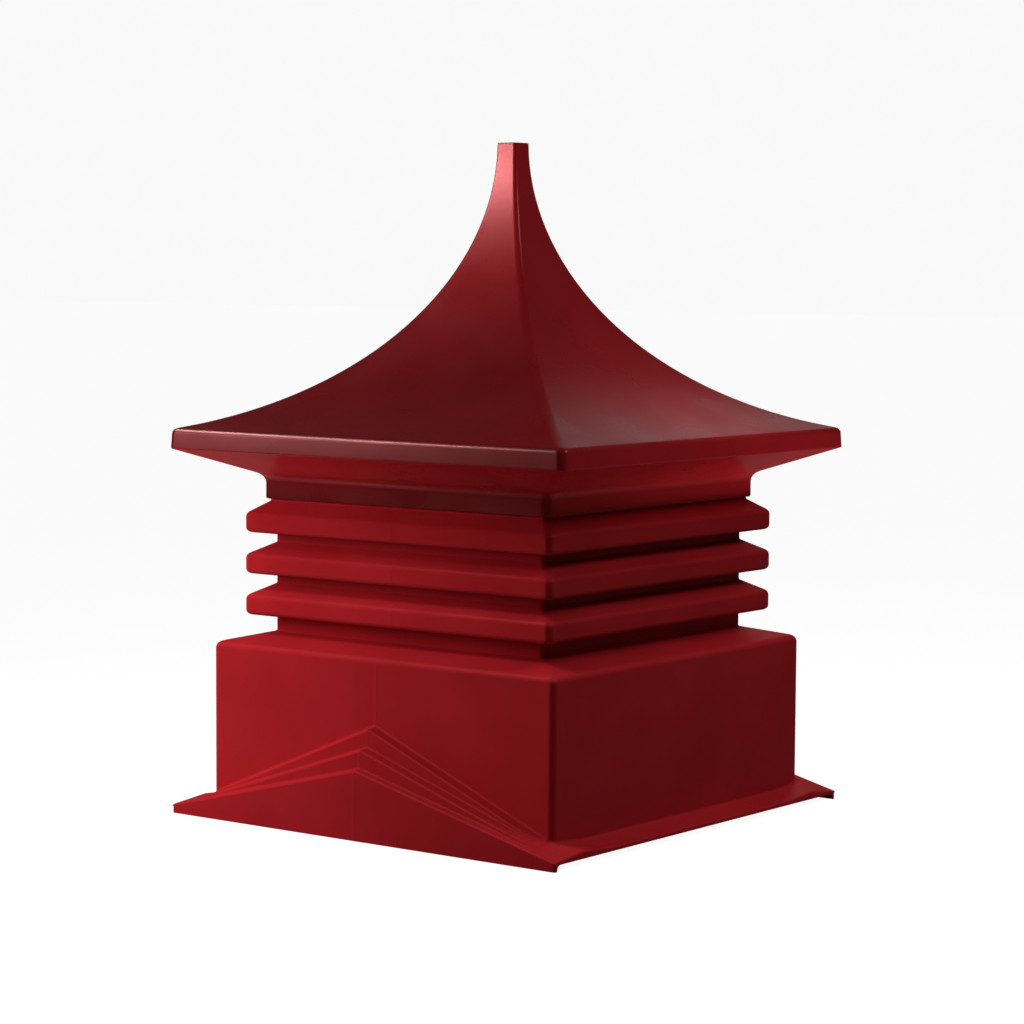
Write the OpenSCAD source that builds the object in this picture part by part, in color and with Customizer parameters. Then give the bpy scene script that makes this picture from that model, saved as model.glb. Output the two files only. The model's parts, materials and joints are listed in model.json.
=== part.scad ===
// Square roof cupola, moulded in plastic sheet: a louvred body on a base with
// trim lines for three roof pitches, under a concave four-sided roof cap.
// Front and back are the gable faces; the ridge of the building runs along Y.

/* [Sheet] */
// Thickness of the moulded sheet
sheet = 5; // [3:0.5:7]

/* [Base] */
// Outside width of the square base, wall to wall
base_w = 616; // [560:10:760]
// Height of the walls' outer corners, where the trim lines meet
foot_z = 26.5; // [26:0.5:45]
// Height of the outer edge of the shoulder on top of the base
shoulder_z = 249; // [215:1:400]
// Rise of the shoulder from its outer edge in to the throat wall
shoulder_rise = 15.5; // [8:0.5:25]
// Radius along the outer edge of the shoulder
shoulder_r = 10; // [8:1:16]

/* [Flanges and trim lines] */
// Width of each side flange, out from the base wall
flange_w = 38; // [30:1:60]
// How far below the walls' corners the side flanges meet the walls
flange_drop = 4.5; // [2:0.5:6]
// Fall of a side flange for each millimetre outwards
flange_fall = 0.21; // [0.1:0.01:0.24]
// How far back from the wall's corner the crest of a flange corner runs
crest_back = 22; // [10:1:40]
// Length along the wall of the slope from that crest down to the flange
crest_run = 60; // [50:1:120]
// Rise in 12 of the steepest trim line
upper_pitch = 5; // [4.6:0.1:6]
// Rise in 12 of the middle trim line
middle_pitch = 4; // [3.6:0.1:4.4]
// Rise in 12 of the flattest trim line
lower_pitch = 3; // [2:0.1:3.4]
// How far the upper step stands out from the base wall
upper_step = 18; // [8:1:30]
// How far the middle step stands out from the upper one
middle_step = 17; // [8:1:30]
// How far the gable panel stands out from the middle step
panel_step = 12; // [8:1:20]
// Fall of the ledges for each millimetre outwards
ledge_fall = 0.1; // [0.05:0.01:0.12]

/* [Throat and louvres] */
// Outside width of the throat wall between the louvres
throat_w = 490; // [440:2:500]
// Width over the tips of the louvres
louvre_w = 554; // [530:2:600]
// Height of the underside of the lowest louvre
louvre_z = 288.5; // [285:0.5:500]
// Distance from one louvre to the next
louvre_pitch = 60; // [54:1:90]
// Height of a louvre's upright nose
nose_h = 28; // [22:1:32]
// Height of a whole louvre
louvre_h = 46; // [40:1:50]
// Radius along the upper edge of a nose
nose_top_r = 9; // [7:0.5:10]
// Radius along the lower edge of a nose
nose_low_r = 7; // [7:0.5:10]

/* [Neck] */
// Outside width of the roof cap's neck band
neck_w = 514; // [480:2:520]
// Height of the neck band's lower edge above the top louvre
neck_gap = 3; // [1:0.5:6]
// Height of the neck band
neck_h = 34; // [20:1:60]
// Length of the body's collar that stands inside the neck band
collar_lap = 29; // [15:1:30]
// Clearance between the collar and the neck band
collar_clear = 0; // [0:0.1:1]

/* [Roof cap] */
// Width over the eaves
eave_w = 708; // [640:5:860]
// Rise of the soffit from the neck band out to the eaves
soffit_rise = 39; // [20:1:60]
// Height of the fascia
fascia_h = 28; // [20:1:50]
// Height of the roof above the fascia
roof_h = 415.5; // [330:0.5:520]
// Radius of the concave sweep of the roof faces
roof_r = 430; // [425:5:700]
// Width of the flat top of the spire
tip_w = 35; // [20:1:60]
// Height of the closed end of the spire
tip_h = 30; // [15:1:60]

/* [Hidden] */
SIDES = ["front", "right", "back", "left"];
ENDS = ["front", "back"];

// Half widths of the square sections
base_half = base_w / 2;
throat_half = throat_w / 2;
louvre_half = louvre_w / 2;
neck_half = neck_w / 2;
collar_half = neck_half - sheet - collar_clear;
eave_half = eave_w / 2;
tip_half = tip_w / 2;

// Levels of the body, from the bottom up
LOUVRES = ["louvre_top", "louvre_middle", "louvre_bottom"];
THROATS = ["throat_upper", "throat_middle", "throat_lower"];
louvre_n = len(LOUVRES);
body_top = louvre_z + (louvre_n - 1) * louvre_pitch + louvre_h;
collar_top = body_top + neck_gap + collar_lap;

// Levels of the roof cap
neck_z = body_top + neck_gap;
soffit_z = neck_z + neck_h;
fascia_z = soffit_z + soffit_rise;
eave_z = fascia_z + fascia_h;
top_z = eave_z + roof_h;
tip_z = top_z - tip_h;

// Outer planes of the gable faces and their pitches, from the wall outwards
face_out = [
    base_half,
    base_half + upper_step,
    base_half + upper_step + middle_step,
    base_half + upper_step + middle_step + panel_step
];
flange_half = base_half + flange_w;

// Slopes of the ledges, which all pass through the wall's corner
corner = [base_half, base_half, foot_z];
ledges = [
    for (rise = [upper_pitch, middle_pitch, lower_pitch])
        [corner, rise / 12, ledge_fall]
];

// Slope of a side flange, lower than the corner
flange_slope = [corner - [0, 0, flange_drop], flange_fall, 0];

// Slope from the crest of a flange corner back down to the flange
back_rise = flange_drop / crest_run;
back_fall = lower_pitch / 12 - crest_back * (ledge_fall + back_rise) / flange_w;
back_slope = [corner, back_fall, -back_rise];

// Length of that slope along the flange's outer edge
edge_run = crest_run * (1 + (flange_fall - back_fall) * flange_w / flange_drop);

// Length of the cutting blocks, past every size of the model
reach = 2 * top_z;
arc_steps = 4;

// ---- outlines of the sheet, as (distance from the axis, height) ----

// Points of a round corner of radius r at b, between the lines from a and to c
function round_corner(a, b, c, r) =
    let (
        to_a = (a - b) / norm(a - b),
        to_c = (c - b) / norm(c - b),
        half = acos(to_a * to_c) / 2,
        middle = b + (to_a + to_c) / norm(to_a + to_c) * r / sin(half),
        first = b + to_a * r / tan(half) - middle,
        last = b + to_c * r / tan(half) - middle,
        turn = 180 - 2 * half,
        way = sign(first.x * last.y - first.y * last.x)
    )
    [for (i = [0:arc_steps])
        let (t = way * turn * i / arc_steps)
        middle + [
            first.x * cos(t) - first.y * sin(t),
            first.x * sin(t) + first.y * cos(t)
        ]
    ];

// Outline of one louvre, from the wall above it round to the wall below
function louvre_outline(z, wall_above) =
    let (
        above = [wall_above, z + louvre_h],
        brow = [louvre_half, z + nose_h],
        chin = [louvre_half, z],
        below = [throat_half, z]
    )
    concat(
        [above],
        round_corner(above, brow, chin, nose_top_r),
        round_corner(brow, chin, below, nose_low_r),
        [below]
    );

louvre_points = 2 * (arc_steps + 1) + 2;

throat_foot = [throat_half, shoulder_z + shoulder_rise];
shoulder_edge = [base_half, shoulder_z];
wall_foot = [base_half, foot_z - flange_drop - sheet];

// Outline of the whole body, from the collar down to the foot of the wall
body_out = concat(
    [[collar_half, collar_top]],
    [for (i = [0:louvre_n - 1])
        each louvre_outline(
            louvre_z + (louvre_n - 1 - i) * louvre_pitch,
            i == 0 ? collar_half : throat_half
        )
    ],
    [throat_foot],
    round_corner(throat_foot, shoulder_edge, wall_foot, shoulder_r),
    [wall_foot]
);

// Where the pieces of the body start on that outline
collar_at = 0;
function louvre_at(i) = 1 + i * louvre_points;
function throat_at(i) = i * louvre_points + louvre_points;
shoulder_at = 1 + louvre_n * louvre_points;
wall_at = shoulder_at + arc_steps + 1;
foot_at = wall_at + 1;

// Unit vector from step i of the outline towards the inside of the sheet
function inward(path, i) =
    let (step = path[i + 1] - path[i])
    [step.y, -step.x] / norm(step);

// The inner face of a sheet whose outer face follows the path
function inner_face(path) =
    let (last = len(path) - 1)
    [for (i = [0:last])
        let (
            before = inward(path, max(i - 1, 0)),
            after = inward(path, min(i, last - 1))
        )
        path[i] + sheet * (before + after) / (1 + before * after)
    ];

body_in = inner_face(body_out);

// The sheet between two points of the body's outline
module body_sheet(first, last) {
    polygon(concat(
        [for (i = [first:last]) body_out[i]],
        [for (i = [last:-1:first]) body_in[i]]
    ));
}

// ---- placing ----

// Runs an upright outline along the front side, mitred at both corners
module front_run() {
    intersection() {
        rotate([90, 0, -90])
            linear_extrude(height = reach, center = true)
                children();
        linear_extrude(height = reach)
            polygon([[0, 0], [reach, -reach], [-reach, -reach]]);
    }
}

// Turns the front side round to side number i
module on_side(i) {
    rotate([0, 0, 90 * i])
        children();
}

// All four sides as one ring
module ring_run() {
    union() {
        for (i = [0:3])
            on_side(i)
                front_run()
                    children();
    }
}

// Both halves of a gable face, from the half at +X
module both_halves() {
    union() {
        children();
        mirror([1, 0, 0])
            children();
    }
}

// ---- roof cap ----

// Centre of the sweep through the edge of the eaves and the edge of the tip
chord = [tip_half - eave_half, roof_h];
chord_middle = [(tip_half + eave_half) / 2, eave_z + roof_h / 2];
sweep_back = sqrt(roof_r * roof_r - chord * chord / 4) / norm(chord);
sweep_centre = chord_middle + [chord.y, -chord.x] * sweep_back;

// Everything on the inner side of a sweep of the given radius
module inside_sweep(r, low, high) {
    difference() {
        translate([0, low])
            square([eave_half, high - low]);
        translate(sweep_centre)
            circle(r = r, $fn = 360);
    }
}

module roof_face() {
    color("firebrick")
        front_run()
            difference() {
                inside_sweep(roof_r, fascia_z, tip_z);
                inside_sweep(roof_r + sheet, fascia_z - sheet, tip_z + sheet);
            }
}

module roof_tip() {
    color("firebrick")
        ring_run()
            difference() {
                inside_sweep(roof_r, tip_z, top_z);
                inside_sweep(roof_r + sheet, tip_z - sheet, top_z - sheet);
            }
}

soffit_fall = soffit_rise / (eave_half - neck_half);
soffit_thick = sheet * sqrt(1 + soffit_fall * soffit_fall);

// Height of the soffit's under face at a distance from the axis
function soffit_at(half) = soffit_z + (half - neck_half) * soffit_fall;

module fascia() {
    color("firebrick")
        front_run()
            difference() {
                polygon([
                    [eave_half - sheet, soffit_at(eave_half - sheet)],
                    [eave_half, fascia_z],
                    [eave_half, eave_z],
                    [eave_half - sheet, eave_z]
                ]);
                translate(sweep_centre)
                    circle(r = roof_r + sheet, $fn = 360);
            }
}

module soffit() {
    inner = neck_half - sheet;
    outer = eave_half - sheet;
    color("firebrick")
        front_run()
            polygon([
                [inner, soffit_z],
                [neck_half, soffit_z],
                [outer, soffit_at(outer)],
                [outer, soffit_at(outer) + soffit_thick],
                [inner, soffit_at(inner) + soffit_thick]
            ]);
}

module neck() {
    color("firebrick")
        front_run()
            translate([neck_half - sheet, neck_z])
                square([sheet, neck_h]);
}

// ---- body ----

module collar() {
    color("darkred")
        ring_run()
            body_sheet(collar_at, louvre_at(0));
}

module louvre(i) {
    color("firebrick")
        ring_run()
            body_sheet(louvre_at(i), throat_at(i));
}

module throat(i) {
    color("darkred")
        ring_run()
            body_sheet(throat_at(i), throat_at(i) + 1);
}

module shoulder() {
    color("firebrick")
        front_run()
            body_sheet(shoulder_at, wall_at);
}

module base_wall() {
    front_run()
        body_sheet(wall_at, foot_at);
}

// ---- gable faces, flanges and trim lines ----

// Turns a level face to a slope, [a point on it, its fall along +X, its fall
// outwards]; the point is [x, distance out, height]
module on_slope(slope) {
    at = slope[0];
    translate([at.x, -at.y, at.z])
        rotate([atan(slope[2] * cos(atan(slope[1]))), atan(slope[1]), 0])
            children();
}

// A sheet that lies under a slope
module sloped_sheet(slope) {
    on_slope(slope)
        translate([-reach, -reach, -sheet])
            cube([2 * reach, 2 * reach, sheet]);
}

// Everything lower than a depth under a slope
module below(slope, depth) {
    on_slope(slope)
        translate([-reach, -reach, -reach - depth])
            cube([2 * reach, 2 * reach, reach]);
}

// An upright block over the corners of a plan, each [x, distance out]
module plan_block(corners) {
    linear_extrude(height = shoulder_z)
        polygon([for (p = corners) [p.x, -p.y]]);
}

// An upright block over a rectangle in plan
module plan_strip(x_from, x_to, out_from, out_to) {
    plan_block([[x_from, out_from], [x_to, out_from], [x_to, out_to], [x_from, out_to]]);
}

// One ledge of a gable face and the riser under it, down to the next ledge
module step(i) {
    color("firebrick")
        both_halves() {
            intersection() {
                plan_strip(0, base_half, face_out[i], face_out[i + 1]);
                sloped_sheet(ledges[i]);
            }
            difference() {
                intersection() {
                    plan_strip(0, base_half, face_out[i + 1] - sheet, face_out[i + 1]);
                    below(ledges[i], sheet);
                }
                below(ledges[i + 1], sheet);
            }
        }
}

// The lowest ledge and the plain panel that hangs from it
module gable_panel() {
    color("firebrick")
        both_halves() {
            intersection() {
                plan_strip(0, base_half, face_out[2], face_out[3] - sheet);
                sloped_sheet(ledges[2]);
            }
            intersection() {
                plan_strip(0, flange_half, face_out[3] - sheet, face_out[3]);
                below(ledges[2], 0);
            }
        }
}

// The end of a flange: the lowest ledge runs on past the wall up to a crest,
// and a shallow back slope comes down from the crest to the flange. Its
// underside is the flange's, carried on to the gable panel.
module flange_corner() {
    color("firebrick")
        difference() {
            union() {
                intersection() {
                    plan_block([
                        [base_half, base_half],
                        [flange_half, base_half - crest_back],
                        [flange_half, face_out[3] - sheet],
                        [base_half, face_out[3] - sheet]
                    ]);
                    below(ledges[2], 0);
                }
                intersection() {
                    plan_block([
                        [base_half, base_half],
                        [base_half, base_half - crest_run],
                        [flange_half, base_half - edge_run],
                        [flange_half, base_half - crest_back]
                    ]);
                    below(back_slope, 0);
                }
            }
            below(flange_slope, sheet);
        }
}

module side_flange() {
    color("firebrick")
        intersection() {
            plan_block([
                [base_half, base_half - crest_run],
                [flange_half, base_half - edge_run],
                [flange_half, edge_run - base_half],
                [base_half, crest_run - base_half]
            ]);
            sloped_sheet(flange_slope);
        }
}

// A base wall over a flange ends level with the flange's under face
module side_wall() {
    color("firebrick")
        base_wall();
}

// A base wall over a gable face ends at the under face of the upper step
module gable_wall() {
    color("firebrick")
        difference() {
            base_wall();
            both_halves()
                intersection() {
                    plan_strip(0, base_half, 0, base_half);
                    below(ledges[0], sheet);
                }
        }
}

// ---- the nodes ----

for (i = [0:3]) {
    on_side(i) roof_face();
    on_side(i) fascia();
    on_side(i) soffit();
    on_side(i) neck();
    on_side(i) shoulder();
}
for (i = [0:louvre_n - 1]) {
    louvre(i);
    throat(i);
}
for (i = [0:1]) {
    on_side(2 * i) gable_wall();
    on_side(2 * i) step(0);
    on_side(2 * i) step(1);
    on_side(2 * i) gable_panel();
}
roof_tip();
collar();
on_side(1) side_wall();  // base_wall_right
on_side(3) side_wall();  // base_wall_left
side_flange();  // side_flange_right
on_side(2) side_flange();  // side_flange_left
flange_corner();  // flange_corner_front_right
on_side(2) flange_corner();  // flange_corner_back_left
mirror([1, 0, 0]) flange_corner();  // flange_corner_front_left
mirror([0, 1, 0]) flange_corner();  // flange_corner_back_right
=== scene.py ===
# %% [markdown]
# # A louvred roof cupola in moulded plastic
#
# A cupola sits on the ridge of a shed or garage roof and lets warm air out. This one is made of two
# hollow plastic mouldings: a square body with a broad base and three louvre rings, and a pagoda-like
# roof cap that slips over the top of the body. The measured CAD frame already holds every level and
# width, so the first cell loads it, and each later cell asks it where things are.

# %% Load the measured frame
import json
import math

import bmesh
import bpy
from mathutils import Matrix, Vector

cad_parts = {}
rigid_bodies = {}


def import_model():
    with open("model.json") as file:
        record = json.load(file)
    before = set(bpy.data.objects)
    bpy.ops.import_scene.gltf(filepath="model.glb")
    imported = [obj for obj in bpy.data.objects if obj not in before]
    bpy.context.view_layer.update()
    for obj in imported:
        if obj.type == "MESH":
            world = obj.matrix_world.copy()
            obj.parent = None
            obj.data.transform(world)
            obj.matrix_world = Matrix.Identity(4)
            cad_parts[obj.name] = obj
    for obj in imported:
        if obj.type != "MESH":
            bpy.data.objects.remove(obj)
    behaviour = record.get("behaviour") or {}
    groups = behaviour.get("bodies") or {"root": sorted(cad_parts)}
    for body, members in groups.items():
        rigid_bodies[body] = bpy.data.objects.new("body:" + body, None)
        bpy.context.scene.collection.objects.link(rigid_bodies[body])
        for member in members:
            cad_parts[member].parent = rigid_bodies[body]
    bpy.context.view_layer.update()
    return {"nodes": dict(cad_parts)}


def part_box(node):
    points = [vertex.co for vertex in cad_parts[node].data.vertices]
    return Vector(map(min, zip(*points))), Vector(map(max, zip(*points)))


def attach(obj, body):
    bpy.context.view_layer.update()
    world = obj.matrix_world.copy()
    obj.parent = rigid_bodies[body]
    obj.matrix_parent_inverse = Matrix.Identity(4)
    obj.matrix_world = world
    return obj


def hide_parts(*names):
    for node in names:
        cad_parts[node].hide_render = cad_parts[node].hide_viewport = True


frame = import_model()

# %% [markdown]
# ## The camera
#
# The cupola is seen from a little above, off the corner between a gable face and a side. A long lens
# from over four metres away keeps the upright edges almost parallel. Three turns aim the camera: the
# heading round the upright axis, the dip below the horizon, and a roll of a third of a degree.

# %% Place the camera
CAMERA_PLACE = Vector((2.6479, -3.4842, 0.7969))
CAMERA_HEADING = 37.212
CAMERA_DIP = 4.716
CAMERA_ROLL = 0.354
SENSOR_WIDTH = 36.0
FOCAL_LENGTH = 105.16
FARTHEST_SEEN = 100.0

camera_data = bpy.data.cameras.new("studio_camera")
camera_data.sensor_width = SENSOR_WIDTH
camera_data.lens = FOCAL_LENGTH
camera_data.clip_end = FARTHEST_SEEN
camera = bpy.data.objects.new("studio_camera", camera_data)
turn = (
    Matrix.Rotation(math.radians(CAMERA_HEADING), 4, "Z")
    @ Matrix.Rotation(math.radians(90.0 - CAMERA_DIP), 4, "X")
    @ Matrix.Rotation(math.radians(CAMERA_ROLL), 4, "Z")
)
camera.matrix_world = Matrix.Translation(CAMERA_PLACE) @ turn
bpy.context.collection.objects.link(camera)
bpy.context.scene.camera = camera
print("camera:", round(CAMERA_PLACE.length, 2), "m from the foot of the cupola")

# %% [markdown]
# ## Widths and levels
#
# Every width and level below is read from the box of a named CAD node, so the finished mesh meets the
# frame with no fitting. All lengths are in metres; `mm` keeps the small ones readable. A half width is
# the distance from the upright axis to a face, because each level of the cupola is a square ring.

# %% Read the widths and levels from the frame
mm = 0.001


def low(node):
    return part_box(node)[0]


def high(node):
    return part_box(node)[1]


wall_half = high("base_wall_right").x
throat_half = high("throat_middle").x
louvre_half = high("louvre_middle").x
collar_half = high("collar").x
neck_half = high("neck_right").x
eave_half = high("fascia_right").x
flange_half = high("side_flange_right").x
panel_out = -low("gable_panel_front").y
cap_top = high("roof_tip").z
print("half widths in mm: wall", round(wall_half / mm, 1), "throat", round(throat_half / mm, 1),
      "louvre", round(louvre_half / mm, 1), "eaves", round(eave_half / mm, 1))

# %% [markdown]
# ## Rounding a corner
#
# Moulded plastic has no sharp edges. One helper rounds any path of points, each with its own radius.
# At every corner it walks back the same distance along both arms and joins the two spots with a curve
# whose middle is weighted by the cosine of half the turn, which is exactly a circular arc. Where an
# arm is too short for the radius, the walk stops just before its middle, so arcs never overlap, and
# each path keeps the same number of points, which is what lets neighbouring paths be joined.

# %% Helper: round the corners of a path
ARC_STEPS = 4
MOST_OF_AN_ARM = 0.46
LEAST_REACH = 0.2 * mm


def arc(before, corner, after, radius):
    back = before - corner
    ahead = after - corner
    half_turn = (math.pi - back.angle(ahead, math.pi)) / 2
    reach = radius * math.tan(half_turn)
    reach = min(reach, MOST_OF_AN_ARM * back.length, MOST_OF_AN_ARM * ahead.length)
    reach = max(reach, LEAST_REACH)
    first = corner + back.normalized() * reach
    last = corner + ahead.normalized() * reach
    weight = math.cos(half_turn)
    points = []
    for i in range(ARC_STEPS + 1):
        t = i / ARC_STEPS
        a = (1 - t) ** 2
        b = 2 * weight * t * (1 - t)
        c = t ** 2
        points.append((first * a + corner * b + last * c) / (a + b + c))
    return points


def rounded(path):
    """Each item of the path is (point, radius); a radius of None keeps the bare point."""
    points = []
    for i, (point, radius) in enumerate(path):
        if radius is None:
            points.append(point)
        else:
            points += arc(path[i - 1][0], point, path[i + 1][0], radius)
    return points


elbow = (Vector((0.0, 0.0)), Vector((1.0, 0.0)), Vector((1.0, 1.0)))
print("a rounded corner has", len(arc(*elbow, 5 * mm)), "points")

# %% [markdown]
# ## Growing a square shell ring by ring
#
# Both mouldings are square in plan with rounded corners. The helpers below start from one square ring:
# a four-sided circle whose corners are bevelled, with its long sides cut into stations. Then the ring
# is extruded again and again, and each new ring is moved to its own width and height. Every point
# carries its place on the first ring along with it, in a small data layer, so a later ring can always
# be worked out from that, whatever the rings between them did.
#
# The stations crowd towards the middle of the gable faces, because the mould's parting line is there.

# %% Helpers: the first ring, and each ring after it
CORNER_R = 10 * mm
CORNER_STEPS = 16
GABLE_CELLS = 30
SIDE_CELLS = 12
CROWDING = 1.5
straight = wall_half - CORNER_R


def first_ring(bm):
    turned = Matrix.Rotation(math.radians(45), 4, "Z")
    square = bmesh.ops.create_circle(
        bm, cap_ends=True, segments=4, radius=wall_half * math.sqrt(2), matrix=turned
    )
    bmesh.ops.bevel(
        bm, geom=square["verts"], affect="VERTICES", offset=CORNER_R, offset_type="OFFSET",
        segments=CORNER_STEPS, profile=0.5, material=-1,
    )
    bmesh.ops.delete(bm, geom=bm.faces[:], context="FACES_ONLY")
    for axis, cells in ((0, GABLE_CELLS), (1, SIDE_CELLS)):
        long_edges = [
            e for e in bm.edges
            if abs(e.verts[0].co[axis] - e.verts[1].co[axis]) > wall_half
        ]
        bmesh.ops.subdivide_edges(bm, edges=long_edges, cuts=2 * cells - 1)
    for v in bm.verts:
        if abs(v.co.x) < straight:
            share = abs(v.co.x) / straight
            v.co.x = math.copysign(straight * share ** CROWDING, v.co.x)
    plan = bm.verts.layers.float_vector.new("plan")
    for v in bm.verts:
        v[plan] = v.co
    return bm.edges[:], plan


def at_half(spot, half, radius=CORNER_R):
    """The spot's place on a ring of another half width, with corners of the given radius."""
    moved = []
    for value in spot[:2]:
        flat = max(-straight, min(straight, value))
        moved.append(flat * (half - radius) / straight + (value - flat) * radius / CORNER_R)
    return moved


def next_ring(bm, edges, plan, place):
    grown = bmesh.ops.extrude_edge_only(bm, edges=edges)["geom"]
    for v in grown:
        if isinstance(v, bmesh.types.BMVert):
            v.co = place(v[plan])
    return [e for e in grown if isinstance(e, bmesh.types.BMEdge)]


print("a ring has", 4 * (GABLE_CELLS + SIDE_CELLS + CORNER_STEPS), "stations")

# %% [markdown]
# ## The outline of the body
#
# From the top, the body starts as a collar that slips up inside the cap. Below it come three louvres,
# each with a sloping top, an upright rounded nose and a flat underside, set off by short upright
# throats. Under the lowest throat a shallow shoulder runs out to the base wall. This is one path of
# (half width, height) points with a radius at each.

# %% Draw the outline of the louvred tower
NOSE_H = 28 * mm
NOSE_TOP_R = 9 * mm
NOSE_LOW_R = 7 * mm
RECESS_R = 3 * mm
SHOULDER_R = 10 * mm
SHOULDER_Z = 249 * mm
COLLAR_PLAY = 0.5 * mm
ABOVE_TRIM = 12 * mm
TRIM_TOP = high("upper_step_front").z + ABOVE_TRIM

above = collar_half - COLLAR_PLAY
tower = [(Vector((above, high("collar").z)), None)]
for louvre in ("louvre_top", "louvre_middle", "louvre_bottom"):
    under = low(louvre).z
    tower.append((Vector((above, high(louvre).z)), RECESS_R))
    tower.append((Vector((louvre_half, under + NOSE_H)), NOSE_TOP_R))
    tower.append((Vector((louvre_half, under)), NOSE_LOW_R))
    tower.append((Vector((throat_half, under)), RECESS_R))
    above = throat_half
tower.append((Vector((throat_half, high("shoulder_right").z)), RECESS_R))
tower.append((Vector((wall_half, SHOULDER_Z)), SHOULDER_R))
tower.append((Vector((wall_half, TRIM_TOP)), None))
tower_outline = rounded(tower)
print("tower outline:", len(tower_outline), "points")

# %% [markdown]
# ## Ledges, gable panel and flanges
#
# The foot of the body fits three roof pitches. On each gable face three ledges, one above the other,
# rise to the middle at 3, 4 and 5 in 12: whoever fits the cupola cuts along the line for the pitch of
# the roof. All the ledges start from the corner of the wall and fall a little outwards. The lowest one
# runs on past the wall to the tip of the flange, where a crest divides it from a shallow slope that
# leads back down to the side flange.
#
# So the height of the trim is a few planes through the wall's corner. The functions take distances
# along X and along Y as if everything were in one quarter, because all four quarters are alike.

# %% Planes of the ledges and flanges
PITCHES = (5 / 12, 4 / 12, 3 / 12)
LEDGE_FALL = 0.1
FLANGE_DROP = 4.5 * mm
FLANGE_FALL = 0.21
CREST_BACK = 22 * mm
CREST_RUN = 60 * mm
SHEET = 5 * mm

step_outs = (
    wall_half,
    -low("upper_step_front").y,
    -low("middle_step_front").y,
    panel_out,
)
foot_z = high("upper_step_front").z - PITCHES[0] * wall_half
flange_under = low("side_flange_right").z
back_rise = FLANGE_DROP / CREST_RUN
back_fall = PITCHES[2] - CREST_BACK * (LEDGE_FALL + back_rise) / (flange_half - wall_half)


def ledge(i, x, y):
    return foot_z + (wall_half - x) * PITCHES[i] - (y - wall_half) * LEDGE_FALL


def flange_top(x, y):
    flat = foot_z - FLANGE_DROP - (x - wall_half) * FLANGE_FALL
    back = foot_z - (x - wall_half) * back_fall - (wall_half - y) * back_rise
    return min(ledge(2, x, y), max(back, flat))


print("trim lines start", round(foot_z / mm, 1), "mm up; flange edge from",
      round(flange_under / mm, 1), "to", round(flange_top(flange_half, 0) / mm, 1), "mm")

# %% [markdown]
# ## One section for every station
#
# A station is a point on the wall's ring. From each one a section leads down the wall, out over the
# ledges and down to the bottom edge. On the gable face the sections are straight out. Round the corner
# they fan out to meet the square outline of the foot, and along the side they cross the flange. Every
# section has the same number of points, so the rings of the foot are these sections read across.

# %% Helpers: where a station's section ends, and its points
WALL_FILLET = 5 * mm
EDGE_R = 4 * mm
VALLEY_R = 3 * mm
FILLET_RUN = 9.5 * mm
FILLET_RISE = 5.5 * mm
STEP_WIDTH = 0.03
TINY = 1e-6

fan_knots = (
    (4, Vector((straight, panel_out)), Vector((flange_half, panel_out))),
    (1, Vector((flange_half, panel_out)), Vector((flange_half, panel_out - SHEET))),
    (4, Vector((flange_half, panel_out - SHEET)),
        Vector((flange_half, panel_out - SHEET - FILLET_RUN))),
    (7, Vector((flange_half, panel_out - SHEET - FILLET_RUN)),
        Vector((flange_half, wall_half - CREST_BACK))),
)
fan = [fan_knots[0][1]]
for cells, start, end in fan_knots:
    for i in range(cells):
        fan.append(start.lerp(end, (i + 1) / cells))


def foot_outline(x, y):
    """The point of the foot's outline that belongs to a station of one quarter."""
    if x <= straight + TINY:
        return Vector((x, panel_out))
    if y <= straight + TINY:
        return Vector((flange_half, y * (wall_half - CREST_BACK) / straight))
    angle = math.atan2(x - straight, y - straight)
    return fan[round(angle / (math.pi / 2) * CORNER_STEPS)]


def bottom_edge(x, y):
    """Height of the lower edge: the panel stands on the floor, the flange is clear of it."""
    inner = panel_out - SHEET
    if x < flange_half - TINY and y > inner or y > inner - TINY:
        return 0.0
    run = (y - (inner - FILLET_RUN)) / FILLET_RUN
    if run <= 0:
        return flange_under
    return flange_under - FILLET_RISE * (1 - math.sqrt(1 - run * run))


def section(x, y):
    wall = Vector((x, y))
    end = foot_outline(x, y)
    shares = [(out - wall_half) / (panel_out - wall_half) for out in step_outs]
    spots = []
    for i, share in enumerate(shares):
        spot = wall.lerp(end, share)
        if x <= straight + TINY:
            if i > 0:
                spots.append(Vector((spot.x, spot.y, ledge(i - 1, spot.x, spot.y))))
            if i < 3:
                spots.append(Vector((spot.x, spot.y, ledge(i, spot.x, spot.y))))
        else:
            spots.append(Vector((spot.x, spot.y, flange_top(*spot))))
            if 0 < i < 3:
                spot = wall.lerp(end, share + STEP_WIDTH)
                spots.append(Vector((spot.x, spot.y, flange_top(*spot))))
    path = [(Vector((x, y, TRIM_TOP)), None)]
    radii = (WALL_FILLET, EDGE_R, VALLEY_R, EDGE_R, VALLEY_R, EDGE_R)
    path += list(zip(spots, radii))
    path.append((Vector((end.x, end.y, bottom_edge(*end))), None))
    return rounded(path)[1:]


FOOT_POINTS = len(section(0.0, wall_half))
print("foot:", FOOT_POINTS, "rings of points below the wall")

# %% [markdown]
# ## Growing the body
#
# The tower's rings come first, from the collar down, and the rings of the foot follow from the same
# stations. The mould closes down the middle of each gable face and leaves a faint raised line there,
# so the middle point of each ring is pushed out by a hair. The outer corners of the foot are bevelled
# last, when the whole outline is there.

# %% Grow the outer face of the body
PARTING_PROUD = 0.45 * mm


def with_parting_line(spot, point):
    if abs(spot.x) < TINY:
        point.y += math.copysign(PARTING_PROUD, point.y)
    return point


def foot_place(index):
    def place(spot):
        point = section(abs(spot.x), abs(spot.y))[index]
        point.x = math.copysign(point.x, spot.x)
        point.y = math.copysign(point.y, spot.y)
        return with_parting_line(spot, point)
    return place


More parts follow.
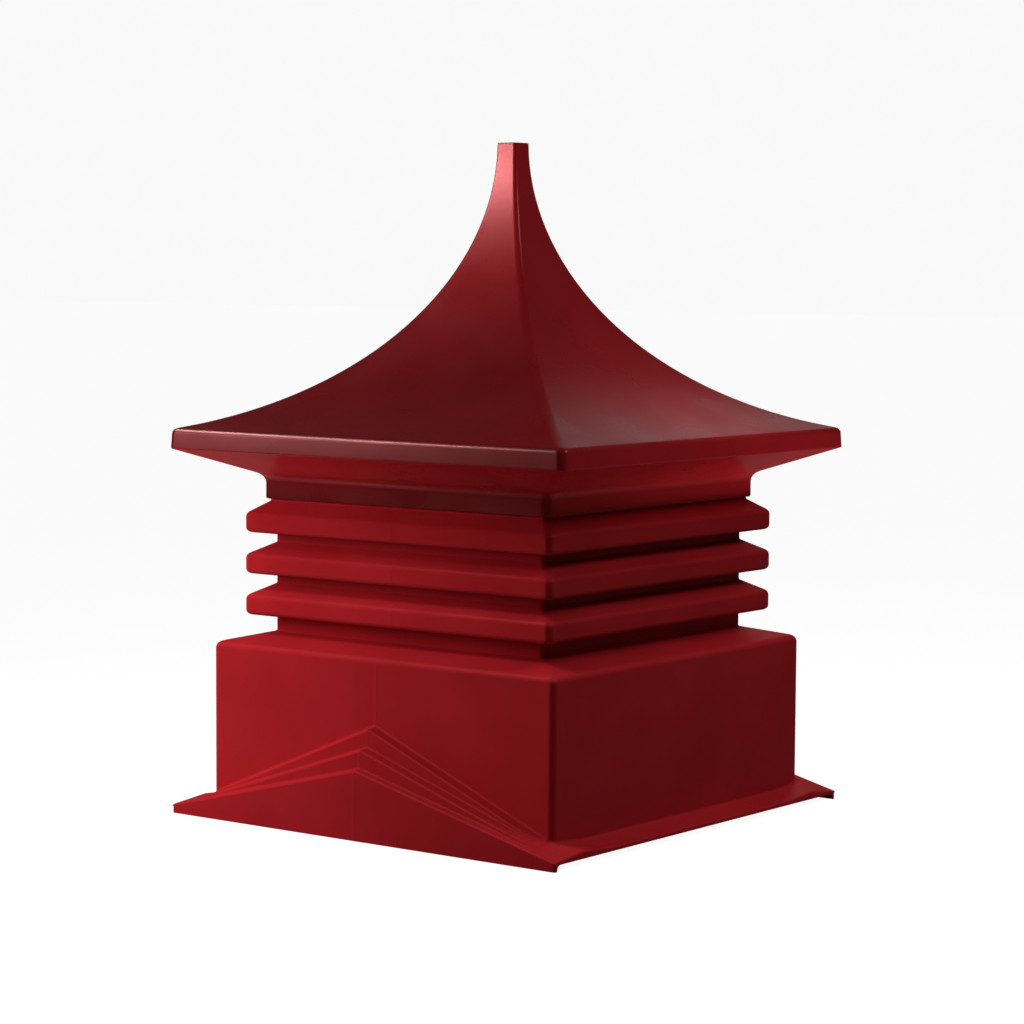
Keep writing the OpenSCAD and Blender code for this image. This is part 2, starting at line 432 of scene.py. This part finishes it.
def tower_place(across, height):
    def place(spot):
        return with_parting_line(spot, Vector((*at_half(spot, across), height)))
    return place


body = bmesh.new()
ring, plan = first_ring(body)
top_place = tower_place(*tower_outline[0])
for v in body.verts:
    v.co = top_place(v[plan])
for across, height in tower_outline[1:]:
    ring = next_ring(body, ring, plan, tower_place(across, height))
for index in range(FOOT_POINTS):
    ring = next_ring(body, ring, plan, foot_place(index))
print("body:", len(body.verts), "points,", len(body.faces), "faces")

# %% [markdown]
# ## From a face to a wall of plastic
#
# The real wall is about five millimetres thick all over. The Solidify modifier gives it that, inwards,
# with an even thickness round corners. A small Bevel after it softens the rims that Solidify leaves
# square, and Weighted Normal keeps the broad faces flat to the eye while their edges shade round.

# %% Helper: finish a moulding
RIM_R = 1.2 * mm
RIM_ANGLE = math.radians(50)


def shell_object(bm, plan, name):
    """The face that lies furthest out must look outwards, and with it all the others."""
    bm.verts.layers.float_vector.remove(plan)
    bmesh.ops.recalc_face_normals(bm, faces=bm.faces[:])
    bm.normal_update()
    outermost = max(bm.faces, key=lambda f: abs(f.calc_center_median().x))
    if outermost.normal.x * outermost.calc_center_median().x < 0:
        bmesh.ops.reverse_faces(bm, faces=bm.faces[:])
    for f in bm.faces:
        f.smooth = True
    mesh = bpy.data.meshes.new(name)
    bm.to_mesh(mesh)
    bm.free()
    piece = bpy.data.objects.new(name, mesh)
    bpy.context.collection.objects.link(piece)
    wall = piece.modifiers.new("wall_thickness", "SOLIDIFY")
    wall.thickness = SHEET
    wall.offset = -1.0
    wall.use_even_offset = True
    rims = piece.modifiers.new("soft_rims", "BEVEL")
    rims.width = RIM_R
    rims.segments = 2
    rims.limit_method = "ANGLE"
    rims.angle_limit = RIM_ANGLE
    rims.use_clamp_overlap = True
    piece.modifiers.new("flat_faces", "WEIGHTED_NORMAL").keep_sharp = True
    print(name + ":", len(mesh.polygons), "faces before thickness")
    return piece


# %% Finish the body
TOUCHING = 0.01 * mm


def at_foot_corner(v):
    off_x = abs(abs(v.co.x) - flange_half)
    off_y = abs(abs(v.co.y) - panel_out)
    return max(off_x, off_y) < TOUCHING


corner_edges = [e for e in body.edges if all(at_foot_corner(v) for v in e.verts)]
print("upright edges at the corners of the foot:", len(corner_edges))
bmesh.ops.bevel(
    body, geom=corner_edges, affect="EDGES", offset=EDGE_R, offset_type="OFFSET",
    segments=3, profile=0.5, material=-1,
)
louvred_body = shell_object(body, plan, "louvred_body")

# %% [markdown]
# ## The roof cap
#
# The cap is a second square shell. Its outline starts at the lower edge of the neck band, goes up the
# band, out along the sloping soffit, up the fascia and then sweeps in one concave arc to a flat tip.
# The arc has the radius of the CAD model and passes through the edge of the eaves and the edge of the
# tip, so its centre lies on the line that halves the chord between them. A drawn curve could follow
# the same line, but an arc of known radius meets the CAD roof at every height.

# %% Draw the outline of the roof cap
SWEEP_R = 430 * mm
SWEEP_STEPS = 36
EAVE_EDGE_R = 8 * mm
EAVE_CORNER_R = 12 * mm
HIP_R = 20 * mm
TIP_HIP_R = 5 * mm
TIP_EDGE_R = 1.5 * mm
TIP_HALF = 17.5 * mm
NECK_LIP_R = 5 * mm
NECK_HOLLOW_R = 16 * mm
SOFFIT_EDGE_R = 2.5 * mm
SOFFIT_RISE = 39 * mm
FASCIA_H = 28 * mm
FASCIA_DRAFT = 1.5 * mm

neck_low = low("neck_right").z
neck_high = high("neck_right").z
fascia_low = neck_high + SOFFIT_RISE
eave_edge = Vector((eave_half, fascia_low + FASCIA_H))
tip_edge = Vector((TIP_HALF, cap_top))
chord = tip_edge - eave_edge
away = Vector((chord.y, -chord.x)).normalized()
sweep_back = math.sqrt(SWEEP_R ** 2 - chord.length_squared / 4)
sweep_centre = (eave_edge + tip_edge) / 2 + away * sweep_back
start_angle = math.atan2(*(eave_edge - sweep_centre).yx)
end_angle = math.atan2(*(tip_edge - sweep_centre).yx)
if end_angle > start_angle:
    end_angle -= 2 * math.pi
print("sweep centre", [round(c / mm, 1) for c in sweep_centre], "from",
      round(math.degrees(start_angle)), "to", round(math.degrees(end_angle)), "degrees")


def sweep_point(share):
    angle = start_angle + (end_angle - start_angle) * share
    return sweep_centre + SWEEP_R * Vector((math.cos(angle), math.sin(angle)))


sweep = [sweep_point(i / SWEEP_STEPS) for i in range(SWEEP_STEPS + 1)]
cap = [
    (Vector((neck_half - SHEET, neck_low)), None),
    (Vector((neck_half, neck_low)), NECK_LIP_R),
    (Vector((neck_half, neck_high)), NECK_HOLLOW_R),
    (Vector((eave_half, fascia_low)), SOFFIT_EDGE_R),
    (Vector((eave_half - FASCIA_DRAFT, eave_edge.y)), EAVE_EDGE_R),
]
cap += [(point, None) for point in sweep[2:-1]]
cap.append((Vector((TIP_HALF, cap_top)), TIP_EDGE_R))
cap.append((Vector((TIP_HALF / 2, cap_top)), None))
cap_outline = rounded(cap)
print("cap outline:", len(cap_outline), "points")

# %% [markdown]
# ## Growing the roof cap
#
# The rings of the cap are grown as those of the body, and only the radius of their corners changes.
# It is even up to the eaves, opens just above them, and then tightens towards the tip, so the hips
# are soft low on the roof and crisp at the top. A wider corner cuts more off a square, so each ring
# grows a little to make up for that. The last ring is drawn into a point, which closes the tip.

# %% Grow the outer face of the roof cap
CLOSING_HALF = 1.0 * mm
HIP_FULLNESS = 0.28
HIP_OPENS_OVER = 0.12
ROUNDEST = 0.6


def hip_radius(height):
    share = max(0.0, (height - eave_edge.y) / (cap_top - eave_edge.y))
    opening = min(1.0, share / HIP_OPENS_OVER)
    widest = HIP_R + (TIP_HIP_R - HIP_R) * math.sqrt(share)
    return EAVE_CORNER_R + (widest - EAVE_CORNER_R) * opening


cap_mesh = bmesh.new()
ring, cap_plan = first_ring(cap_mesh)


def cap_place(across, height):
    radius = min(hip_radius(height), across * ROUNDEST)
    across += max(0.0, radius - EAVE_CORNER_R) * HIP_FULLNESS

    def place(spot):
        return Vector((*at_half(spot, across, radius), height))
    return place


first_place = cap_place(*cap_outline[0])
for v in cap_mesh.verts:
    v.co = first_place(v[cap_plan])
for across, height in cap_outline[1:]:
    ring = next_ring(cap_mesh, ring, cap_plan, cap_place(across, height))
ring = next_ring(cap_mesh, ring, cap_plan, cap_place(CLOSING_HALF, cap_top))
crown = {v for e in ring for v in e.verts}
bmesh.ops.pointmerge(cap_mesh, verts=list(crown), merge_co=Vector((0.0, 0.0, cap_top)))

roof_cap = shell_object(cap_mesh, cap_plan, "roof_cap")

# %% [markdown]
# ## Moulded red plastic
#
# The plastic is coloured through, deep red and half glossy. Its skin copies the metal mould: broad
# shallow waves where the sheet shrank as it cooled, and a fine orange peel. The colour and the gloss
# change a little from place to place. An image could carry all this, but it would need unwrapping.
# Noise textures on Object coordinates don't, and they run unbroken through the whole moulding.
#
# Both mouldings have the same skin, so it is one node group, and each material sets its strength. The
# helpers come first, because a node is made, set and joined many times.

# %% Helpers: make nodes and join them
def node(tree, kind, **settings):
    made = tree.nodes.new(kind)
    for key, value in settings.items():
        setattr(made, key, value)
    return made


def feed(tree, source, socket):
    """The source is a number, which the socket keeps, or an output, which is linked to it."""
    if isinstance(source, float):
        socket.default_value = source
    else:
        tree.links.new(source, socket)


def sum_of(tree, first, second, factor):
    """first + second * factor, where each is a number or an output."""
    made = node(tree, "ShaderNodeMath", operation="MULTIPLY_ADD")
    for source, socket in zip((second, factor, first), made.inputs):
        feed(tree, source, socket)
    return made.outputs[0]


def noise(tree, coordinates, scale, detail, roughness=0.5):
    made = node(tree, "ShaderNodeTexNoise")
    made.inputs["Scale"].default_value = scale
    made.inputs["Detail"].default_value = detail
    made.inputs["Roughness"].default_value = roughness
    tree.links.new(coordinates, made.inputs["Vector"])
    return made.outputs["Fac"]


def remapped(tree, value, from_low, from_high, to_low, to_high):
    made = node(tree, "ShaderNodeMapRange", clamp=True)
    tree.links.new(value, made.inputs["Value"])
    for key, number in (("From Min", from_low), ("From Max", from_high),
                        ("To Min", to_low), ("To Max", to_high)):
        made.inputs[key].default_value = number
    return made.outputs["Result"]


# %% Shared node group: the inputs and outputs of the plastic's skin
skin = bpy.data.node_groups.new("plastic_skin", "ShaderNodeTree")
for name, kind, value in (
    ("Red", "NodeSocketColor", (0.4, 0.012, 0.018, 1.0)),
    ("Deep Red", "NodeSocketColor", (0.3, 0.008, 0.012, 1.0)),
    ("Roughness", "NodeSocketFloat", 0.4),
    ("Roughness Change", "NodeSocketFloat", 0.08),
    ("Peel", "NodeSocketFloat", 0.25),
    ("Waves", "NodeSocketFloat", 1.0),
):
    socket = skin.interface.new_socket(name, in_out="INPUT", socket_type=kind)
    socket.default_value = value
for name, kind in (
    ("Colour", "NodeSocketColor"),
    ("Roughness", "NodeSocketFloat"),
    ("Height", "NodeSocketFloat"),
):
    skin.interface.new_socket(name, in_out="OUTPUT", socket_type=kind)
print("plastic_skin:", len(skin.interface.items_tree), "inputs and outputs")

# %% [markdown]
# ## What the skin does
#
# A soft cloud of noise, about 14 cm across, mixes the red with a deeper red. A second cloud shifts the
# roughness up and down. The height is a sum of two more, the waves and the orange peel, each as
# strong as its input says. A noise value hardly ever comes near 0 or 1, so Map Range first stretches
# the middle of it.

# %% Shared node group: colour, gloss and height
CLOUD_SCALE = 7.0
SMEAR_SCALE = 11.0
WAVE_SCALE = 9.0
PEEL_SCALE = 210.0

group_in = node(skin, "NodeGroupInput").outputs
group_out = node(skin, "NodeGroupOutput").inputs
place = node(skin, "ShaderNodeTexCoord").outputs["Object"]

cloud = noise(skin, place, CLOUD_SCALE, 2.0)
mottle = remapped(skin, cloud, 0.35, 0.65, 0.0, 1.0)
colour = node(skin, "ShaderNodeMix", data_type="RGBA")
skin.links.new(mottle, colour.inputs["Factor"])
skin.links.new(group_in["Red"], colour.inputs["A"])
skin.links.new(group_in["Deep Red"], colour.inputs["B"])
skin.links.new(colour.outputs["Result"], group_out["Colour"])

smear = noise(skin, place, SMEAR_SCALE, 1.0)
smear = remapped(skin, smear, 0.3, 0.7, -1.0, 1.0)
rough = sum_of(skin, group_in["Roughness"], smear, group_in["Roughness Change"])
skin.links.new(rough, group_out["Roughness"])

waves = noise(skin, place, WAVE_SCALE, 1.0, roughness=0.4)
peel = noise(skin, place, PEEL_SCALE, 2.0)
height = sum_of(skin, 0.0, waves, group_in["Waves"])
height = sum_of(skin, height, peel, group_in["Peel"])
skin.links.new(height, group_out["Height"])
print("plastic_skin:", len(skin.nodes), "nodes")

# %% [markdown]
# ## One plastic, two finishes
#
# The cap came out of its mould glossier than the body, and the body shows a little more orange peel.
# The shine of this plastic is pink rather than white, so the shader's own Specular Tint is red. A
# clear coat over the colour could give a sharper shine, but the real skin has no coat. Numbers that
# are the same all over are set straight on the shader. Only what changes comes from the group.

# %% The two materials
SHINE_TINT = (1.0, 0.26, 0.27, 1.0)
BUMP_STRENGTH = 0.5
BUMP_DEPTH = 1.2 * mm


def moulded_plastic(name, gloss, **skin_values):
    material = bpy.data.materials.new(name)
    material.use_nodes = True
    tree = material.node_tree
    shader = tree.nodes["Principled BSDF"]
    group = node(tree, "ShaderNodeGroup", node_tree=skin)
    for key, value in skin_values.items():
        group.inputs[key.replace("_", " ").title()].default_value = value
    bump = node(tree, "ShaderNodeBump")
    bump.inputs["Strength"].default_value = BUMP_STRENGTH
    bump.inputs["Distance"].default_value = BUMP_DEPTH
    tree.links.new(group.outputs["Height"], bump.inputs["Height"])
    tree.links.new(group.outputs["Colour"], shader.inputs["Base Color"])
    tree.links.new(group.outputs["Roughness"], shader.inputs["Roughness"])
    tree.links.new(bump.outputs["Normal"], shader.inputs["Normal"])
    shader.inputs["Specular IOR Level"].default_value = gloss
    shader.inputs["Specular Tint"].default_value = SHINE_TINT
    print(name + ":", len(tree.nodes), "nodes")
    return material


roof_cap.data.materials.append(moulded_plastic(
    "cap_red_plastic", gloss=0.5,
    red=(0.43, 0.0120, 0.0175, 1.0), deep_red=(0.38, 0.0100, 0.0145, 1.0),
    roughness=0.30, roughness_change=0.05, peel=0.06, waves=0.8,
))
louvred_body.data.materials.append(moulded_plastic(
    "body_red_plastic", gloss=0.20,
    red=(0.43, 0.0141, 0.0199, 1.0), deep_red=(0.38, 0.0118, 0.0168, 1.0),
    roughness=0.50, roughness_change=0.06, peel=0.14, waves=1.0,
))

# %% [markdown]
# ## The studio
#
# A pale floor runs back to a pale sky. A white floor that is lit like the cupola would throw light up
# under the eaves and wash the red out. So the floor is a mid grey, and the sky is weak, as far as the
# plastic can tell. Light Path knows which rays come from the camera, and only those see the floor and
# the sky glow, the way a studio lights its backdrop apart from the object.

# %% Floor
FLOOR_HALF = 40.0
FLOOR_GREY = 0.4
FLOOR_GLOW = 0.94
WHITE = (1.0, 1.0, 1.0, 1.0)

ground = bmesh.new()
bmesh.ops.create_grid(ground, x_segments=1, y_segments=1, size=FLOOR_HALF)
floor_mesh = bpy.data.meshes.new("studio_floor")
ground.to_mesh(floor_mesh)
ground.free()
floor = bpy.data.objects.new("studio_floor", floor_mesh)
bpy.context.collection.objects.link(floor)

floor_paper = bpy.data.materials.new("floor_paper")
floor_paper.use_nodes = True
paper_tree = floor_paper.node_tree
paper = paper_tree.nodes["Principled BSDF"]
paper.inputs["Base Color"].default_value = (FLOOR_GREY, FLOOR_GREY, FLOOR_GREY, 1.0)
paper.inputs["Roughness"].default_value = 0.9
paper.inputs["Emission Color"].default_value = WHITE
to_camera = node(paper_tree, "ShaderNodeLightPath").outputs["Is Camera Ray"]
glow = node(paper_tree, "ShaderNodeMath", operation="MULTIPLY")
paper_tree.links.new(to_camera, glow.inputs[0])
glow.inputs[1].default_value = FLOOR_GLOW
paper_tree.links.new(glow.outputs[0], paper.inputs["Emission Strength"])
floor_mesh.materials.append(floor_paper)
print("floor:", 2 * FLOOR_HALF, "m square")

# %% Sky
SKY_LIGHT = 0.035
SKY_SEEN = 0.945

sky = bpy.data.worlds.new("studio_sky")
sky.use_nodes = True
bpy.context.scene.world = sky
sky_tree = sky.node_tree
background = sky_tree.nodes["Background"]
background.inputs["Color"].default_value = WHITE
sky_path = node(sky_tree, "ShaderNodeLightPath").outputs["Is Camera Ray"]
strength = remapped(sky_tree, sky_path, 0.0, 1.0, SKY_LIGHT, SKY_SEEN)
sky_tree.links.new(strength, background.inputs["Strength"])
bpy.context.scene.view_settings.view_transform = "Standard"
print("sky: lights with", SKY_LIGHT, "and looks like", SKY_SEEN)

# %% [markdown]
# ## Softboxes
#
# The light is soft, from large rectangles. A studio hangs black cards so that a lamp lights one part
# and not the next. Light linking does the same here: a lamp with a list of pieces lights only those.
# A lamp can also give soft light without a reflection of itself, or a reflection without soft light.
# So the level of each wall and the place of each highlight are set apart from each other.

# %% Helpers: hang a lamp
def hang(name, kind, place, aim, power, gives, lights):
    """gives is "both", "soft" for light with no reflection, or "shine" for a reflection alone.

    lights lists the pieces that the lamp reaches; with an empty list it reaches everything.
    """
    data = bpy.data.lights.new(name, kind)
    data.energy = power
    lamp = bpy.data.objects.new(name, data)
    lamp.location = place
    lamp.rotation_euler = (Vector(aim) - Vector(place)).to_track_quat("-Z", "Y").to_euler()
    lamp.visible_glossy = gives != "soft"
    lamp.visible_diffuse = gives != "shine"
    bpy.context.collection.objects.link(lamp)
    if lights:
        group = bpy.data.collections.new(name + "_lights")
        for piece in lights:
            group.objects.link(piece)
        lamp.light_linking.receiver_collection = group
    return lamp


def softbox(name, place, aim, size, power, gives="both", lights=()):
    lamp = hang(name, "AREA", place, aim, power, gives, lights)
    lamp.data.shape = "RECTANGLE"
    lamp.data.size, lamp.data.size_y = size
    return lamp


# %% Softboxes for the body, and for both mouldings
softbox(
    "left_softbox", place=(-0.95, -0.85, 0.58), aim=(-0.1, -0.1, 0.25), size=(0.45, 0.45),
    power=9.8, gives="soft", lights=(louvred_body, floor),
)
softbox(
    "top_softbox", place=(-0.9, -1.3, 2.4), aim=(0.0, 0.0, 0.2), size=(0.8, 0.8),
    power=28.0, lights=(louvred_body,),
)
softbox(
    "over_softbox", place=(0.9, 0.3, 2.4), aim=(0.0, 0.0, 0.2), size=(0.8, 0.8),
    power=12.0, lights=(louvred_body,),
)
softbox(
    "right_softbox", place=(1.8, 0.5, 2.0), aim=(0.0, 0.0, 0.4), size=(0.8, 0.7),
    power=12.5,
)
softbox(
    "back_softbox", place=(-1.2, 2.6, 1.5), aim=(0.0, 0.0, 0.4), size=(1.4, 1.2),
    power=22.0, gives="soft", lights=(louvred_body, roof_cap),
)
softbox(
    "sheen_softbox", place=(-1.2, 2.6, 1.9), aim=(0.0, 0.0, 0.6), size=(1.4, 1.2),
    power=1.4,
)
print("softboxes so far:", len(bpy.data.lights))

# %% [markdown]
# ## Lights for the roof cap
#
# One softbox gives the front roof face its soft light, and three give shine alone: along the fascia,
# along its top edge, and up the spire. Two low, flat ones lift the soffit out of the dark. The last
# two lamps are spots with a soft edge, for the spire and for the low part of the right roof face.

# %% Softboxes and spots for the roof cap
SPOT_SOFTNESS = 0.15

softbox(
    "cap_softbox", place=(-1.2, -1.3, 1.35), aim=(-0.1, 0.0, 0.65), size=(0.5, 0.5),
    power=6.5, gives="soft", lights=(roof_cap,),
)
softbox(
    "eave_softbox", place=(-1.65, -1.9, 0.9), aim=(-0.2, -0.35, 0.6), size=(0.5, 0.35),
    power=9.0, gives="shine", lights=(roof_cap,),
)
softbox(
    "rim_softbox", place=(-0.75, -0.75, 1.15), aim=(-0.1, -0.35, 0.63), size=(0.9, 0.2),
    power=12.0, gives="shine", lights=(roof_cap,),
)
softbox(
    "spire_softbox", place=(-1.25, -1.7, 1.25), aim=(0.0, 0.0, 0.9), size=(0.4, 0.35),
    power=4.5, gives="shine", lights=(roof_cap,),
)
for side in (-1, 1):
    soffit_light = softbox(
        "soffit_softbox", place=(side * 0.5, side * 0.41, 0.06),
        aim=(side * 0.3, side * 0.33, 0.6), size=(0.4, 0.1),
        power=1.9, gives="soft", lights=(roof_cap,),
    )
    soffit_light.visible_camera = False
for name, place, aim, power, angle in (
    ("spire_spot", (-1.14, -1.52, 1.35), (-0.03, -0.03, 0.88), 90.0, 13.5),
    ("slope_spot", (0.5, 0.3, 1.9), (0.33, 0.08, 0.62), 24.0, 20.0),
):
    spot = hang(name, "SPOT", place, aim, power, "soft", (roof_cap,))
    spot.data.spot_size = math.radians(angle)
    spot.data.spot_blend = 1.0
    spot.data.shadow_soft_size = SPOT_SOFTNESS
print("lamps in all:", len(bpy.data.lights), "with", round(sum(d.energy for d in bpy.data.lights)), "W")

# %% [markdown]
# ## Hand the pieces over
#
# Each new piece rides on the one body and stands for the CAD nodes that it replaces, which are hidden.

# %% Tie the pieces to the frame
CAP_NODES = [n for n in frame["nodes"] if n.split("_")[0] in ("roof", "fascia", "soffit", "neck")]
BODY_NODES = [n for n in frame["nodes"] if n not in CAP_NODES]
for piece, nodes in ((roof_cap, CAP_NODES), (louvred_body, BODY_NODES)):
    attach(piece, "root")
    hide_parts(*nodes)
    print(piece.name, "stands for", len(nodes), "nodes")
